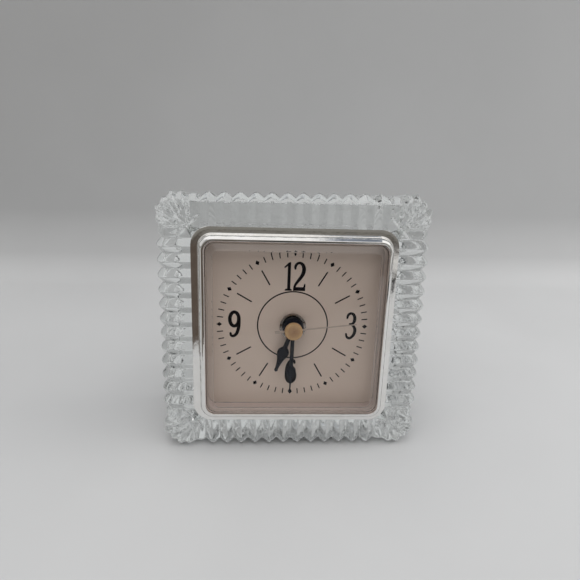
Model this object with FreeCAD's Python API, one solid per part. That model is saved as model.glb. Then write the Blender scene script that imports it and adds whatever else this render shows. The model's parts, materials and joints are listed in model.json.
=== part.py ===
import FreeCAD, Part
import os
from math import pi, sin, cos, tan, atan2, hypot, radians, degrees

# Square desk clock: a clear ribbed glass block that holds a quartz insert.
# Lengths are millimetres. Every piece is drawn in the clock's own frame (x to the
# right, y up the dial, z out of the dial, dial face at z = 0) and then leaned back
# by LEAN, so that the block's tapered underside lies flat on the table.

os.makedirs("parts", exist_ok=True)
V = FreeCAD.Vector

# ---- driving dimensions ----
TRACK_R = 28.2            # radius of the minute track on the dial
LEAN = radians(6.5)       # the block's draft angle, and so its backward lean
INSERT_TURN = -0.9        # degrees: the insert sits slightly clockwise in the block

# glass block
GLASS_FRONT = 4.8         # front plane of the ribs, above the dial
GLASS_DEPTH = 38.0
CREST = 50.8              # half width over the rib crests
RIB_H = 1.85              # crest above valley
RIB_PITCH = 5.70
RIBS = 12                 # ribs on each side
RUN_IN = 2.6              # length over which a groove reaches its depth
FAN_C = 39.2              # centre of each corner fan, x and y
CREST_R = 3.6             # rounding of a rib from the front to the side
VALLEY_R = 2.2
FOOT_FLAT = 0.2           # depth of the flats along the lowest crests
HOLE = 36.0               # half width of the square through hole
HOLE_R = 5.0

# bezel
BEZ_OUT = 38.2
BEZ_OUT_R = 5.8
BEZ_IN = 33.85
BEZ_IN_R = 3.0
BEZ_TOP = 8.2
FLANGE_T = 1.1
SKIRT_OUT = 35.7
SKIRT_IN = 34.4

# lens
LENS_OUT = 33.65
LENS_R = 2.8
LENS_FLAT = 29.6
LENS_BACK = 8.35
LENS_FRONT = 9.75
LENS_EDGE = 8.1
LENS_IN = 32.1

# dial and hub
DIAL_HALF = 33.5
DIAL_T = 0.5
NUT_R = 5.25
NUT_T = 2.0
WASHER_T = 0.45
BUSH_R = 3.9

# shafts, each inside the next
SEC_R = 0.60
MIN_IN, MIN_OUT = 0.65, 1.45
HOUR_IN, HOUR_OUT = 1.50, 2.20
BUSH_IN = 2.26

# hands: clock angles at rest, in degrees clockwise from twelve
SEC_ANG, MIN_ANG, HOUR_ANG = 81.5, 180.9, 199.0
HOUR_Z, MIN_Z, SEC_Z = 3.1, 4.5, 5.95
BLADE_T = 0.3
CAP_R, CAP_TOP = 3.36, 7.8

# insert housing
HOUSE_OUT = 35.4
HOUSE_IN = 34.0
HOUSE_BACK = -18.4
WALL = 1.4

# movement case
CASE_HALF = 28.0
CASE_FRONT = -1.0
CASE_SPLIT = -9.0
CASE_BACK = -16.6
CASE_WALL = 1.4
BAT_R, BAT_L = 7.0, 48.5
BAT_Y = -19.2
BAT_Z = -9.6
BAY_TOP = -11.1           # wall between the battery bay and the gears

# gears: teeth, module
M_ROT = 0.30              # rotor pinion 8, intermediate wheel 48
M_INT = 0.36              # intermediate pinion 8, seconds wheel 40
M_SEC = 0.30              # seconds pinion 8, third wheel 60
M_THIRD = 10.2 * 2 / 72   # third pinion 8, centre wheel 64
M_CAN = 0.35              # cannon pinion 12, motion wheel 36, set pinion 12
M_MOT = 8.4 * 2 / 50      # motion pinion 10, hour wheel 40
A_THIRD, D_THIRD = 135.0, 10.2
A_MOT, D_MOT = 45.0, 8.4
A_INT, D_INT = -20.0, 8.64
A_ROT, D_ROT = -10.0, 8.4     # rotor, from the intermediate axis
A_SET, D_SET = 60.0, 8.4      # setting pinion, from the motion axis

CREST_SIDE_Z = GLASS_FRONT - CREST_R
GLASS_BACK = GLASS_FRONT - GLASS_DEPTH
TAPER = tan(LEAN)


def polar(a, d, c=(0.0, 0.0)):
    return (c[0] + d * cos(radians(a)), c[1] + d * sin(radians(a)))


P_THIRD = polar(A_THIRD, D_THIRD)
P_MOT = polar(A_MOT, D_MOT)
P_INT = polar(A_INT, D_INT)
P_ROT = polar(A_ROT, D_ROT, P_INT)
P_SET = polar(A_SET, D_SET, P_MOT)

# ---- the lean, and the origin under the middle of the block ----
# the bottom crest line starts at (y, z) = (-CREST, CREST_SIDE_Z)
SHIFT_Z = CREST * cos(LEAN) - CREST_SIDE_Z * sin(LEAN) - FOOT_FLAT
front_y = -(LENS_FRONT * cos(LEAN) + (LENS_FLAT + 0.4) * sin(LEAN))
top_back = CREST - TAPER * (CREST_SIDE_Z - GLASS_BACK)
back_y = -GLASS_BACK * cos(LEAN) + top_back * sin(LEAN)
SHIFT_Y = -(front_y + back_y) / 2
LEANED = FreeCAD.Placement(V(0, SHIFT_Y, SHIFT_Z),
                           FreeCAD.Rotation(V(1, 0, 0), 90 - degrees(LEAN)))
TURNED = FreeCAD.Placement(V(0, 0, 0), FreeCAD.Rotation(V(0, 0, 1), INSERT_TURN))
INSERT = LEANED.multiply(TURNED)


def to_row(x, y, z):
    return INSERT.multVec(V(x, y, z))


# ---- small helpers ----
def cyl(r, z0, z1, at=(0, 0)):
    return Part.makeCylinder(r, z1 - z0, V(at[0], at[1], z0))


def tube(ro, ri, z0, z1, at=(0, 0)):
    outer = Part.Wire(Part.makeCircle(ro, V(at[0], at[1], z0)))
    inner = Part.Wire(Part.makeCircle(ri, V(at[0], at[1], z0)))
    f = Part.Face([outer, inner], "Part::FaceMakerBullseye")
    return f.extrude(V(0, 0, z1 - z0))


def box(x0, x1, y0, y1, z0, z1):
    return Part.makeBox(x1 - x0, y1 - y0, z1 - z0, V(x0, y0, z0))


def rsq_wire(half, r, z, half_y=None, c=(0, 0)):
    hx, hy = half, half if half_y is None else half_y
    k = r * (1 - cos(pi / 4))
    cx, cy = c
    e = []
    pts = [(hx - r, hy, -hx + r, hy), (-hx, hy - r, -hx, -hy + r),
           (-hx + r, -hy, hx - r, -hy), (hx, -hy + r, hx, hy - r)]
    mids = [(-hx + k, hy - k), (-hx + k, -hy + k), (hx - k, -hy + k), (hx - k, hy - k)]
    for i in range(4):
        a = pts[i]
        b = pts[(i + 1) % 4]
        e.append(Part.LineSegment(V(cx + a[0], cy + a[1], z), V(cx + a[2], cy + a[3], z)).toShape())
        e.append(Part.Arc(V(cx + a[2], cy + a[3], z), V(cx + mids[i][0], cy + mids[i][1], z),
                          V(cx + b[0], cy + b[1], z)).toShape())
    return Part.Wire(e)


def rsq(half, r, z0, z1, **k):
    return Part.Face(rsq_wire(half, r, z0, **k)).extrude(V(0, 0, z1 - z0))


def rsq_ring(ho, ro, hi, ri, z0, z1):
    f = Part.Face([rsq_wire(ho, ro, z0), rsq_wire(hi, ri, z0)], "Part::FaceMakerBullseye")
    return f.extrude(V(0, 0, z1 - z0))


def prism(pts, z0, z1, holes=()):
    w = [Part.makePolygon([V(x, y, z0) for x, y in pts] + [V(pts[0][0], pts[0][1], z0)])]
    for (x, y, r) in holes:
        w.append(Part.Wire(Part.makeCircle(r, V(x, y, z0))))
    f = Part.Face(w, "Part::FaceMakerBullseye") if holes else Part.Face(w[0])
    return f.extrude(V(0, 0, z1 - z0))


def fuse(first, *rest):
    s = first
    for o in rest:
        s = s.fuse(o)
    s = s.removeSplitter()
    return s


def edges_at(shape, z, tol=1e-4):
    return [e for e in shape.Edges
            if abs(e.BoundBox.ZMin - z) < tol and abs(e.BoundBox.ZMax - z) < tol]


# ---- the glass block ----
def rib_section(inner, crest_out, rib, lift):
    """Outline from the inner edge over the front and down the side, as (out, z).
    rib: height above the valley, 0 to RIB_H. lift: taper per unit depth."""
    drop = RIB_H - rib
    out = crest_out - drop
    zf = GLASS_FRONT - drop
    r = VALLEY_R + (CREST_R - VALLEY_R) * rib / RIB_H
    zs = CREST_SIDE_Z
    k = r * (1 - cos(pi / 4))
    back_out = out - lift * (zs - GLASS_BACK)
    return dict(p0=(inner, GLASS_FRONT), p1=(inner + RUN_IN, zf),
                p2=(out - r, zf), pm=(out - k, zf - k), p3=(out, zf - r),
                p4=(back_out, GLASS_BACK), p5=(inner, GLASS_BACK))


def section_wire(s, put):
    P = {k: put(*v) for k, v in s.items()}
    e = [Part.LineSegment(P["p0"], P["p1"]).toShape(),
         Part.LineSegment(P["p1"], P["p2"]).toShape(),
         Part.Arc(P["p2"], P["pm"], P["p3"]).toShape(),
         Part.LineSegment(P["p3"], P["p4"]).toShape(),
         Part.LineSegment(P["p4"], P["p5"]).toShape(),
         Part.LineSegment(P["p5"], P["p0"]).toShape()]
    return Part.Wire(e)


def side_wall():
    """The top side: ribs run out of the front and down to the back."""
    half = RIBS * RIB_PITCH / 2
    st = [(-FAN_C, 0.0), (-FAN_C + 1.0, 0.55 * RIB_H), (-half - 1.0, 0.55 * RIB_H)]
    for i in range(RIBS):
        x = -half + i * RIB_PITCH
        st.append((x, 0.0))
        st.append((x + RIB_PITCH / 2, RIB_H))
    st.append((half, 0.0))
    st += [(half + 1.0, 0.55 * RIB_H), (FAN_C - 1.0, 0.55 * RIB_H), (FAN_C, 0.0)]
    wires = []
    for x, rib in st:
        s = rib_section(FAN_C, CREST, rib, TAPER)
        wires.append(section_wire(s, lambda o, z, x=x: V(x, o, z)))
    return Part.makeLoft(wires, True, True)


# crest radius of the corner fan about its centre, every 9 degrees
FAN_OUT = [CREST - FAN_C, 11.72, 12.5, 12.98, 12.9, 12.8, 12.9, 12.98, 12.5, 11.72, CREST - FAN_C]
FAN_STEP = 9.0
FAN_IN = 0.25


def corner_fan():
    wires = []
    for i, out in enumerate(FAN_OUT):
        a = radians(i * FAN_STEP)
        rib = RIB_H if i % 2 else 0.0
        lift = TAPER * (cos(a) + sin(a))
        s = rib_section(FAN_IN, out, rib, lift)
        s["p1"] = (3.0, GLASS_FRONT - (RIB_H - rib) * 0.75)
        wires.append(section_wire(s, lambda o, z, a=a: V(FAN_C + o * sin(a), FAN_C + o * cos(a), z)))
    return Part.makeLoft(wires, True, True)


def turn(shape, deg):
    s = shape.copy()
    s.rotate(V(0, 0, 0), V(0, 0, 1), deg)
    return s


wall = side_wall()
fan = corner_fan()
CORE = FAN_C + FAN_IN
core = box(-CORE, CORE, -CORE, CORE, GLASS_BACK, GLASS_FRONT)
glass = core.fuse([turn(wall, 90 * i) for i in range(4)] + [turn(fan, 90 * i) for i in range(4)])
glass = glass.cut(turn(rsq(HOLE, HOLE_R, GLASS_BACK - 1, GLASS_FRONT + 1), INSERT_TURN))
glass = glass.removeSplitter()

# ---- bezel, lens, dial ----
flange = rsq_ring(BEZ_OUT, BEZ_OUT_R, BEZ_IN, BEZ_IN_R, GLASS_FRONT, GLASS_FRONT + FLANGE_T)
flange = flange.makeFillet(0.6, [e for e in edges_at(flange, GLASS_FRONT + FLANGE_T)
                                 if e.BoundBox.XMax > BEZ_OUT - 7 or e.BoundBox.XMin < -BEZ_OUT + 7
                                 if max(abs(e.BoundBox.XMin), abs(e.BoundBox.XMax),
                                        abs(e.BoundBox.YMin), abs(e.BoundBox.YMax)) > BEZ_OUT - 0.6])
bead = rsq_ring(BEZ_OUT - 0.9, BEZ_OUT_R - 0.9, BEZ_IN, BEZ_IN_R, GLASS_FRONT + FLANGE_T - 0.3, BEZ_TOP)
bead = bead.makeFillet(1.7, [e for e in edges_at(bead, BEZ_TOP)
                             if max(abs(e.BoundBox.XMin), abs(e.BoundBox.XMax),
                                    abs(e.BoundBox.YMin), abs(e.BoundBox.YMax)) > BEZ_OUT - 1.5])
skirt = rsq_ring(SKIRT_OUT, 4.4, SKIRT_IN, 3.4, -0.1, GLASS_FRONT + 0.6)
bezel = fuse(flange, bead, skirt)

lens_body = rsq(LENS_OUT, LENS_R, 0.0, LENS_EDGE)
bevel = Part.makeLoft([rsq_wire(LENS_OUT, LENS_R, LENS_EDGE),
                       rsq_wire(LENS_FLAT, 1.2, LENS_FRONT)], True, True)
lens = lens_body.fuse(bevel).cut(rsq(LENS_IN, 1.6, -0.5, LENS_BACK - 1.0))
lens = lens.cut(Part.makeLoft([rsq_wire(LENS_IN, 1.6, LENS_BACK - 1.01),
                               rsq_wire(LENS_IN - 1.6, 0.9, LENS_BACK)], True, True))
lens = lens.removeSplitter()

dial = rsq(DIAL_HALF, 2.6, -DIAL_T, 0.0).cut(cyl(BUSH_R + 0.1, -1, 1))

hub_nut = tube(NUT_R, BUSH_R, 0.0, NUT_T)
hub_nut = hub_nut.makeChamfer(0.45, [e for e in edges_at(hub_nut, NUT_T)
                                     if e.BoundBox.XMax > NUT_R - 0.2])
washer = tube(6.5, BUSH_R + 0.1, -DIAL_T - WASHER_T, -DIAL_T)


# ---- hands ----
def aim(shape, clock_deg):
    return turn(shape, -clock_deg)


def blade(profile, tip_r, tail=None):
    """A flat hand along +y from (distance, half width) pairs, with a round tip."""
    L = profile[-1][0]
    right = [(w, s) for s, w in profile]
    n = 12
    for i in range(1, n):
        a = -pi / 2 * 0.9 + (pi * 1.8 / 2) * i / n
        right.append((tip_r * cos(a), L + tip_r * 0.9 + tip_r * sin(a)))
    top = [(0.0, L + tip_r * 1.9)]
    left = [(-x, y) for x, y in reversed(right)]
    return right + top + left


def smooth(points, n=6):
    """Cosine blend between (distance, half width) points."""
    out = []
    for (s0, w0), (s1, w1) in zip(points, points[1:]):
        for i in range(n):
            t = i / n
            u = (1 - cos(pi * t)) / 2
            out.append((s0 + (s1 - s0) * t, w0 + (w1 - w0) * u))
    out.append(points[-1])
    return out


R = TRACK_R
hour_prof = [(0.02 * R, 0.030 * R), (0.300 * R, 0.030 * R)]
hour_prof += smooth([(0.301 * R, 0.031 * R), (0.315 * R, 0.052 * R), (0.345 * R, 0.075 * R),
                     (0.385 * R, 0.081 * R), (0.43 * R, 0.070 * R), (0.50 * R, 0.043 * R),
                     (0.58 * R, 0.027 * R), (0.625 * R, 0.020 * R)], 5)
min_prof = [(0.02 * R, 0.026 * R), (0.535 * R, 0.026 * R)]
min_prof += smooth([(0.536 * R, 0.027 * R), (0.55 * R, 0.044 * R), (0.58 * R, 0.063 * R),
                    (0.615 * R, 0.068 * R), (0.66 * R, 0.057 * R), (0.72 * R, 0.032 * R),
                    (0.78 * R, 0.016 * R), (0.82 * R, 0.011 * R)], 5)
min_prof += [(0.885 * R, 0.010 * R)]

hour_hand = fuse(prism(blade(hour_prof, 0.026 * R), HOUR_Z, HOUR_Z + BLADE_T),
                 cyl(4.1, HOUR_Z, HOUR_Z + BLADE_T),
                 cyl(3.0, HOUR_Z - 0.5, HOUR_Z + 0.6))
hour_hand = aim(hour_hand.cut(cyl(HOUR_OUT, 0, 8)), HOUR_ANG)
minute_hand = fuse(prism(blade(min_prof, 0.023 * R), MIN_Z, MIN_Z + BLADE_T),
                   cyl(3.9, MIN_Z, MIN_Z + BLADE_T),
                   cyl(2.3, MIN_Z - 0.5, MIN_Z + 0.6))
minute_hand = aim(minute_hand.cut(cyl(MIN_OUT, 0, 8)), MIN_ANG)

sec_pts = [(0.42, 0), (0.20, 0.85 * R), (-0.20, 0.85 * R), (-0.42, 0), (-0.42, -0.11 * R),
           (-0.95, -0.25 * R), (0.95, -0.25 * R), (0.42, -0.11 * R)]
cap = cyl(CAP_R, SEC_Z + 0.2, CAP_TOP)
cap = cap.makeFillet(0.5, edges_at(cap, CAP_TOP))
second_hand = fuse(prism(sec_pts, SEC_Z, SEC_Z + 0.25), cyl(1.1, SEC_Z - 0.35, SEC_Z + 0.3), cap)
second_hand = aim(second_hand.cut(cyl(SEC_R, 0, SEC_Z + 1.3)), SEC_ANG)


# ---- gears ----
def gear_pts(n, m, phase, kind):
    """Tooth outline. Wheels have ogive tips and short roots, pinions radial
    leaves with low round tips. phase: direction of one tooth's middle."""
    rp = n * m / 2
    p = 2 * pi / n
    if kind == "wheel":
        add, ded, half = 1.05 * m, 1.05 * m, 0.205
        rows = [(-ded, 1.12), (0.0, 1.0), (0.45 * add, 0.78), (0.8 * add, 0.45), (add, 0.14)]
    else:
        add, ded, half = 0.55 * m, 1.35 * m, 0.175
        rows = [(-ded, 0.95), (0.0, 1.0), (0.55 * add, 0.80), (0.9 * add, 0.42), (add, 0.15)]
    pts = []
    for i in range(n):
        c = radians(phase) + i * p
        left = [(rp + dr, c - half * p * k * rp / (rp + max(dr, -0.2 * rp) * 0.5)) for dr, k in rows]
        right = [(r, 2 * c - a) for r, a in reversed(left)]
        pts += [(r * cos(a), r * sin(a)) for r, a in left + right]
    return pts


def gear(n, m, phase, kind, z0, z1, at=(0, 0)):
    pts = [(x + at[0], y + at[1]) for x, y in gear_pts(n, m, phase, kind)]
    return prism(pts, z0, z1)


def mesh_phase(n_a, phase_a, dir_ab, n_b):
    """Phase of gear b so that it has a gap where gear a has a tooth."""
    pa = 360.0 / n_a
    off = ((phase_a - dir_ab + pa / 2) % pa) - pa / 2     # tooth offset from the centre line on a
    # seen from b the contact moves the other way, by arc length
    return dir_ab + 180.0 - off * n_a / n_b + 180.0 / n_b


Z_HOURW = (-4.2, -3.0)
Z_MOTW = (-5.7, -4.7)
Z_CENW = (-7.3, -6.3)
Z_PLATE = (-8.2, -7.6)
Z_THIRDW = (-9.6, -8.8)
Z_SECW = (-11.4, -10.6)
Z_INTW = (-12.9, -12.1)
PIVOT_BACK = -15.0

# phases, starting from the seconds wheel and the cannon pinion
ph_secw = 0.0
ph_intp = mesh_phase(40, ph_secw, A_INT, 8)
ph_intw = 0.0
ph_rot = mesh_phase(48, ph_intw, A_ROT, 8)
ph_secp = 0.0
ph_thirdw = mesh_phase(8, ph_secp, A_THIRD, 60)
ph_thirdp = 0.0
ph_cen = mesh_phase(8, ph_thirdp, A_THIRD + 180, 64)
ph_can = 0.0
ph_motw = mesh_phase(12, ph_can, A_MOT, 36)
ph_set = mesh_phase(36, ph_motw, A_SET, 12)
ph_motp = 0.0
ph_hour = mesh_phase(10, ph_motp, A_MOT + 180, 40)

seconds_wheel = fuse(gear(40, M_INT, ph_secw, "wheel", *Z_SECW),
                     gear(8, M_SEC, ph_secp, "pinion", Z_THIRDW[0] - 0.3, Z_THIRDW[1] + 0.3),
                     cyl(0.85, Z_SECW[0] - 0.6, Z_THIRDW[0] - 0.2),
                     cyl(SEC_R, PIVOT_BACK, SEC_Z + 1.2))
third_wheel = fuse(gear(60, M_SEC, ph_thirdw, "wheel", *Z_THIRDW, at=P_THIRD),
                   gear(8, M_THIRD, ph_thirdp, "pinion", *Z_CENW, at=P_THIRD),
                   cyl(0.62, Z_THIRDW[0], Z_CENW[0], P_THIRD),
                   cyl(0.45, PIVOT_BACK, -2.0, P_THIRD))
intermediate_wheel = fuse(gear(48, M_ROT, ph_intw, "wheel", *Z_INTW, at=P_INT),
                          gear(8, M_INT, ph_intp, "pinion", Z_SECW[0] - 0.5, Z_SECW[1] + 0.3, at=P_INT),
                          cyl(0.9, Z_INTW[1], Z_SECW[0] - 0.4, P_INT),
                          cyl(0.45, PIVOT_BACK, Z_PLATE[0] + 0.4, P_INT))
rotor = fuse(gear(8, M_ROT, ph_rot, "pinion", Z_INTW[0] - 0.2, Z_INTW[1] + 0.3, at=P_ROT),
             cyl(3.0, -11.6, -9.0, P_ROT),
             cyl(0.45, PIVOT_BACK, Z_PLATE[0] + 0.4, P_ROT))
centre_wheel = gear(64, M_THIRD, ph_cen, "wheel", *Z_CENW).cut(cyl(MIN_OUT + 0.06, -20, 0))
cannon_pinion = fuse(gear(12, M_CAN, ph_can, "pinion", *Z_MOTW),
                     cyl(MIN_OUT, -7.5, MIN_Z + 0.75))
cannon_pinion = cannon_pinion.cut(cyl(MIN_IN, -20, 20))
motion_wheel = fuse(gear(36, M_CAN, ph_motw, "wheel", *Z_MOTW, at=P_MOT),
                    gear(10, M_MOT, ph_motp, "pinion", Z_MOTW[1] - 0.01, Z_HOURW[1], at=P_MOT),
                    cyl(0.6, -6.1, -2.0, P_MOT))
hour_wheel = fuse(gear(40, M_MOT, ph_hour, "wheel", *Z_HOURW), cyl(HOUR_OUT, Z_HOURW[0], HOUR_Z + 0.65))
hour_wheel = hour_wheel.cut(cyl(HOUR_IN, -20, 20))
set_knob = fuse(gear(12, M_CAN, ph_set, "pinion", *Z_MOTW, at=P_SET),
                cyl(1.2, -18.2, Z_MOTW[0], P_SET), cyl(0.6, -5.0, -2.0, P_SET),
                cyl(5.2, -20.6, -17.6, P_SET))
for i in range(18):
    a = 20.0 * i
    set_knob = set_knob.cut(cyl(0.42, -21.0, -17.0, polar(a, 5.3, P_SET)))

# ---- movement case ----
front_plate = rsq(CASE_HALF, 3.0, CASE_FRONT - CASE_WALL + 0.2, CASE_FRONT)
front_wall = rsq_ring(CASE_HALF, 3.0, CASE_HALF - CASE_WALL, 1.8, CASE_SPLIT, CASE_FRONT - 0.6)
bay_wall = box(-CASE_HALF + 0.5, CASE_HALF - 0.5, BAY_TOP - 0.9, BAY_TOP, CASE_SPLIT, CASE_FRONT - 0.6)
SCREWS = [(-24.2, 24.2), (24.2, 24.2), (-24.2, -9.0), (24.2, -9.0)]
bosses = [cyl(2.2, CASE_SPLIT, CASE_FRONT - 0.6, p) for p in SCREWS]
plate_posts = [(-17.0, 14.5), (10.5, 17.2), (-14.0, -8.0)]
posts = [cyl(1.3, Z_PLATE[1], CASE_FRONT - 0.6, p) for p in plate_posts]
movement_front = front_plate.fuse([front_wall, bay_wall, cyl(BUSH_R, CASE_FRONT - 0.5, NUT_T + 0.35)]
                                  + bosses + posts).removeSplitter()
movement_front = movement_front.cut(cyl(BUSH_IN, -20, 20))
for p, r in ((P_THIRD, 0.5), (P_MOT, 0.65), (P_SET, 0.65)):
    movement_front = movement_front.cut(cyl(r, -2.4, -1.5, p))
for p in SCREWS:
    movement_front = movement_front.cut(cyl(0.85, CASE_SPLIT - 1, -3.0, p))

back_plate = rsq(CASE_HALF, 3.0, CASE_BACK, CASE_BACK + CASE_WALL)
back_wall = rsq_ring(CASE_HALF, 3.0, CASE_HALF - CASE_WALL, 1.8, CASE_BACK + 0.6, CASE_SPLIT)
back_bay = box(-CASE_HALF + 0.5, CASE_HALF - 0.5, BAY_TOP - 0.9, BAY_TOP, CASE_BACK + 0.6, CASE_SPLIT)
back_boss = [tube(2.2, 0.95, CASE_BACK + 0.6, CASE_SPLIT, p) for p in SCREWS]
pivots = [cyl(1.5, CASE_BACK + 0.6, -14.2, p) for p in (P_THIRD, P_INT, P_ROT, (0, 0))]
movement_back = back_plate.fuse([back_wall, back_bay] + back_boss + pivots).removeSplitter()
movement_back = movement_back.cut([cyl(r, -15.05, -10.0, p) for p, r in
                                   ((P_THIRD, 0.5), (P_INT, 0.5), (P_ROT, 0.5), ((0, 0), SEC_R + 0.05))])
movement_back = movement_back.cut(cyl(1.27, -20, -10, P_SET))
for p in SCREWS:
    movement_back = movement_back.cut(cyl(0.95, -20, 0, p)).cut(cyl(1.75, -20, CASE_BACK + 0.7, p))
# battery bay opens to the back
movement_back = movement_back.cut(box(-25.9, 25.9, -25.9, BAY_TOP - 1.0, -20, CASE_SPLIT + 0.1))

middle_plate = prism([(-19.5, -9.8), (20.5, -9.8), (20.5, -0.8), (13.0, -0.8), (13.0, 19.6),
                      (-19.5, 19.6)], Z_PLATE[0], Z_PLATE[1])
middle_plate = middle_plate.cut([cyl(1.1, -20, 0, (0, 0)), cyl(1.0, -20, 0, P_THIRD),
                                 cyl(0.5, -20, Z_PLATE[0] + 0.45, P_INT), cyl(0.5, -20, Z_PLATE[0] + 0.45, P_ROT),
                                 cyl(1.6, -20, 0, P_SET)])

# ---- motor, circuit, battery ----
stator = prism([(11.2, -9.2), (25.6, -9.2), (25.6, -0.4), (11.2, -0.4)], -10.9, -10.1,
               holes=[(P_ROT[0], P_ROT[1], 3.4)])
stator = fuse(stator, box(23.15, 25.6, -0.5, 12.0, -10.9, -10.1), box(14.1, 16.35, -0.5, 1.6, -10.9, -10.1),
              box(14.1, 16.35, -0.5, 12.0, -10.9, -10.1), box(14.1, 25.6, 6.6, 8.6, -10.9, -10.1))
stator = stator.cut(box(13.0, 27.0, 9.2, 13.0, -12, -9)).cut(cyl(2.4, -12, -9, SCREWS[3]))
coil = tube(3.0, 1.7, 0, 5.6).fuse(tube(3.5, 1.7, -0.5, 0.01)).fuse(tube(3.5, 1.7, 5.59, 6.1)).removeSplitter()
coil.rotate(V(0, 0, 0), V(0, 1, 0), 90)
coil.translate(V(16.95, 7.6, -10.5))
circuit_board = box(-26.2, -17.3, -6.6, 21.6, -9.9, -9.1)
chip = cyl(2.3, -10.9, -9.9, (-21.8, 4.0))
chip = chip.makeFillet(0.7, edges_at(chip, -10.9))
circuit_board = fuse(circuit_board, chip)
quartz_can = cyl(1.0, 0, 6.0)
quartz_can.rotate(V(0, 0, 0), V(1, 0, 0), -90)
quartz_can.translate(V(-21.8, 10.5, -10.95))

battery = fuse(cyl(BAT_R, 0.0, BAT_L), cyl(2.6, BAT_L - 0.1, BAT_L + 1.2))
battery.rotate(V(0, 0, 0), V(0, 1, 0), 90)
battery.translate(V(-24.2, BAT_Y, BAT_Z))
contact_positive = fuse(box(25.55, 25.95, -23.4, -15.2, -14.4, -5.0), box(25.55, 25.95, -16.0, -12.7, -8.0, -5.0))
contact_negative = box(-26.2, -25.8, -23.4, -15.2, -14.4, -5.0)
spring = tube(3.2, 2.5, 0, 0.4).fuse(tube(2.6, 1.9, 0.39, 0.8)).fuse(tube(2.1, 1.4, 0.79, 1.2))
spring.rotate(V(0, 0, 0), V(0, 1, 0), 90)
spring.translate(V(-25.8, BAT_Y, BAT_Z))
contact_negative = contact_negative.fuse(box(-25.85, -25.4, BAT_Y - 3.2, BAT_Y + 3.2, BAT_Z - 3.2, BAT_Z + 3.2)
                                         .cut(box(-27, -25, BAT_Y - 1.8, BAT_Y + 1.8, BAT_Z - 1.8, BAT_Z + 1.8)))
contact_negative = contact_negative.fuse(spring).removeSplitter()

DOOR_Z = (-18.0, -16.8)
battery_door = rsq(26.8, 1.5, DOOR_Z[0], DOOR_Z[1], half_y=7.4, c=(0, BAT_Y))
battery_door = fuse(battery_door, *[box(-8.0, 8.0, BAT_Y - 5.2 + 1.3 * i, BAT_Y - 4.6 + 1.3 * i,
                                        DOOR_Z[0] - 0.45, DOOR_Z[0] + 0.1) for i in range(4)])

# four case screws, heads sunk in the back
screws = []
for p in SCREWS:
    s = fuse(cyl(0.8, -14.5, -4.0, p), cyl(1.6, CASE_BACK + 0.05, CASE_BACK + 0.65, p),
             cyl(0.8, CASE_BACK + 0.6, -14.0, p))
    s = s.cut(box(p[0] - 1.2, p[0] + 1.2, p[1] - 0.2, p[1] + 0.2, CASE_BACK - 0.2, CASE_BACK + 0.25))
    s = s.cut(box(p[0] - 0.2, p[0] + 0.2, p[1] - 1.2, p[1] + 1.2, CASE_BACK - 0.2, CASE_BACK + 0.25))
    screws.append(s)
case_screws = Part.makeCompound(screws)

# ---- insert housing and its rubber band ----
housing = rsq_ring(HOUSE_OUT, 4.2, HOUSE_IN, 2.9, HOUSE_BACK, -0.1)
housing = housing.fuse([rsq_ring(HOUSE_IN + 0.3, 3.0, 30.5, 2.0, -DIAL_T - 1.6, -DIAL_T),
                        rsq_ring(HOUSE_IN + 0.3, 3.0, 28.25, 3.1, HOUSE_BACK, HOUSE_BACK + WALL)])
housing = housing.removeSplitter()
retaining_band = rsq_ring(HOLE - 0.02, HOLE_R, HOUSE_OUT, 4.2, -12.0, -4.0)

NODES = dict(glass_block=glass, bezel=bezel, lens=lens, dial=dial, hub_nut=hub_nut, washer=washer,
             hour_hand=hour_hand, minute_hand=minute_hand, second_hand=second_hand,
             housing=housing, retaining_band=retaining_band,
             movement_front=movement_front, movement_back=movement_back, middle_plate=middle_plate,
             hour_wheel=hour_wheel, motion_wheel=motion_wheel, cannon_pinion=cannon_pinion,
             centre_wheel=centre_wheel, third_wheel=third_wheel, seconds_wheel=seconds_wheel,
             intermediate_wheel=intermediate_wheel, rotor=rotor, stator=stator, coil=coil,
             circuit_board=circuit_board, quartz_can=quartz_can, set_knob=set_knob, battery=battery,
             battery_door=battery_door, contact_positive=contact_positive,
             contact_negative=contact_negative, case_screws=case_screws)

if __name__ == "__main__":
    for name, shape in NODES.items():
        s = shape.copy()
        s.Placement = (LEANED if name == "glass_block" else INSERT).multiply(s.Placement)
        if name == "glass_block":
            s = s.cut(Part.makeBox(200, 200, 10, V(-100, -100, -10)))
        n = len(s.Solids)
        ok = s.isValid()
        if n == 1:
            s = s.Solids[0]
        bb = s.optimalBoundingBox()
        print("%-20s solids %d valid %s faces %4d vol %10.2f  x %.2f %.2f y %.2f %.2f z %.3f %.2f" % (
            name, n, ok, len(s.Faces), s.Volume, bb.XMin, bb.XMax, bb.YMin, bb.YMax, bb.ZMin, bb.ZMax))
        s.exportStep("parts/%s.step" % name)
    d = LEANED.Rotation.multVec(V(0, 0, -1))
    print("forward axis", [round(v, 9) for v in d])
    for name, p in (("centre", (0, 0)), ("third", P_THIRD), ("motion", P_MOT), ("intermediate", P_INT),
                    ("rotor", P_ROT), ("set", P_SET)):
        q = to_row(p[0], p[1], 0)
        print(name, [round(v / 1000, 9) for v in q])
    print("up axis", [round(v, 9) for v in INSERT.Rotation.multVec(V(0, 1, 0))])
    print("shift", SHIFT_Y, SHIFT_Z)
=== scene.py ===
import json
from math import pi, sin, cos, tan, radians, degrees, sqrt, hypot, atan2
import bpy
import numpy as np
from mathutils import Matrix, Vector, noise

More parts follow.
